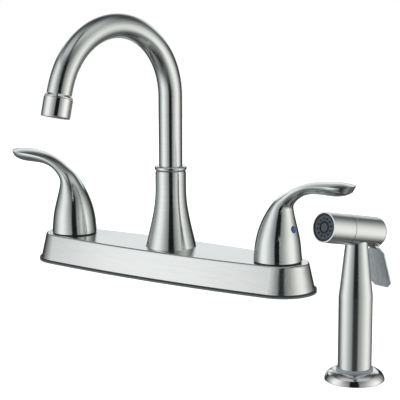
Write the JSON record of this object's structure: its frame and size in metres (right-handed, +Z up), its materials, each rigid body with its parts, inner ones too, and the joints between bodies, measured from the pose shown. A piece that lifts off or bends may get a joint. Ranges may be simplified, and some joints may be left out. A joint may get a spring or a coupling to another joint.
{
  "type": "two-handle kitchen faucet with side sprayer",
  "caption": "Two-handle kitchen faucet on a long oval deck plate, with a high-arc swivel spout and a separate hand sprayer in its own deck holder.",
  "frame": {"origin": "on the sink deck, under the middle of the deck plate, on the spout's axis", "axes": "+X along the deck plate from the hot side to the cold side, +Y to the wall behind the sink, +Z up"},
  "size_m": [0.4551, 0.2324, 0.258],
  "materials": {
    "brushed_nickel": "brushed nickel plate, fine vertical grain",
    "polished_nickel": "polished nickel",
    "lever_steel": "darker brushed steel",
    "dark_rubber": "matt rubber",
    "glide_ring": "matt",
    "guide_plastic": "pale blue-grey, glossy",
    "hot_red": "glossy",
    "cold_blue": "glossy",
    "nozzle_grey": "satin silicone",
    "brass": "machined brass",
    "copper": "drawn copper",
    "nut_zinc": "zinc plated",
    "white_plastic": "moulded acetal",
    "black_plastic": "moulded",
    "ceramic": "lapped ceramic",
    "seal_rubber": "moulded rubber",
    "spring_steel": "bright spring steel"
  },
  "bodies": {
    "deck_set": {"deck_plate": "brushed_nickel", "base_gasket": "dark_rubber", "hub_rings": "glide_ring", "hot_valve_body": "brass", "cold_valve_body": "brass", "centre_post": "brass", "cross_tubes": "copper", "plate_nuts": "nut_zinc", "hot_cartridge": "white_plastic", "cold_cartridge": "white_plastic", "bonnet_nuts": "brass", "seat_seals": "seal_rubber", "fixed_discs": "ceramic", "spout_bell": "brushed_nickel", "spout_collar": "brushed_nickel", "spout_bushing": "white_plastic", "diverter_body": "white_plastic", "diverter_spring": "spring_steel", "spray_outlet": "brass", "shank_washers": "nut_zinc", "shank_nuts": "nut_zinc", "holder_flange": "polished_nickel", "holder_ring": "guide_plastic", "holder_gasket": "dark_rubber", "holder_washer": "nut_zinc", "holder_nut": "black_plastic"},
    "hot_lever": {"hot_handle": "brushed_nickel", "hot_index_button": "hot_red", "hot_set_screw": "spring_steel", "hot_stem": "brass", "hot_moving_disc": "ceramic"},
    "cold_lever": {"cold_handle": "brushed_nickel", "cold_index_button": "cold_blue", "cold_set_screw": "spring_steel", "cold_stem": "brass", "cold_moving_disc": "ceramic"},
    "spout": {"spout_tube": "brushed_nickel", "spout_stem": "brass", "stem_o_rings": "seal_rubber", "spout_clip": "spring_steel", "spout_end_ring": "polished_nickel", "aerator_housing": "polished_nickel", "aerator_washer": "seal_rubber", "aerator_insert": "white_plastic"},
    "diverter": {"diverter_poppet": "white_plastic"},
    "handset": {"spray_grip": "brushed_nickel", "hose_inlet": "brass", "inlet_washer": "seal_rubber", "spray_head": "brushed_nickel", "spray_sleeve": "brushed_nickel", "spray_face": "nozzle_grey", "face_seal": "seal_rubber", "valve_seat": "white_plastic", "stem_guide": "white_plastic", "lever_pin": "spring_steel", "valve_spring": "spring_steel"},
    "thumb_lever": {"spray_lever": "lever_steel"},
    "spray_valve": {"valve_stem": "spring_steel", "valve_disc": "seal_rubber"}
  },
  "joints": [
    {"name": "hot_turn", "type": "hinge", "parent": "deck_set", "child": "hot_lever", "pos_m": [-0.1016, 0, 0.0245], "axis": [0, 0, 1], "range_deg": [0, 90]},
    {"name": "cold_turn", "type": "hinge", "parent": "deck_set", "child": "cold_lever", "pos_m": [0.1016, 0, 0.0245], "axis": [0, 0, 1], "range_deg": [-90, 0]},
    {"name": "spout_swivel", "type": "hinge", "parent": "deck_set", "child": "spout", "pos_m": [0, 0, 0.0845], "axis": [0, 0, 1], "continuous": true},
    {"name": "diverter_lift", "type": "slide", "parent": "deck_set", "child": "diverter", "axis": [0, 0, 1], "range_m": [0, 0.003], "stiffness_N_per_m": 50, "springref_m": -0.002, "deforming": ["diverter_spring"]},
    {"name": "handset_lift", "type": "slide", "parent": "deck_set", "child": "handset", "axis": [0, 0, 1], "range_m": [0, 0.15]},
    {"name": "trigger", "type": "hinge", "parent": "handset", "child": "thumb_lever", "pos_m": [0.26588, -0.15627, 0.0832], "axis": [-0.9659, 0.2588, 0], "range_deg": [0, 18], "stiffness_Nm_per_rad": 0.1, "springref_deg": -5.73},
    {"name": "valve_pull", "type": "slide", "parent": "handset", "child": "spray_valve", "axis": [0.2541, 0.9482, -0.1908], "range_m": [0, 0.0027], "deforming": ["valve_spring"]}
  ],
  "couplings": [
    {"joint": "valve_pull", "follows": "trigger", "m_per_rad": 0.008276}
  ]
}
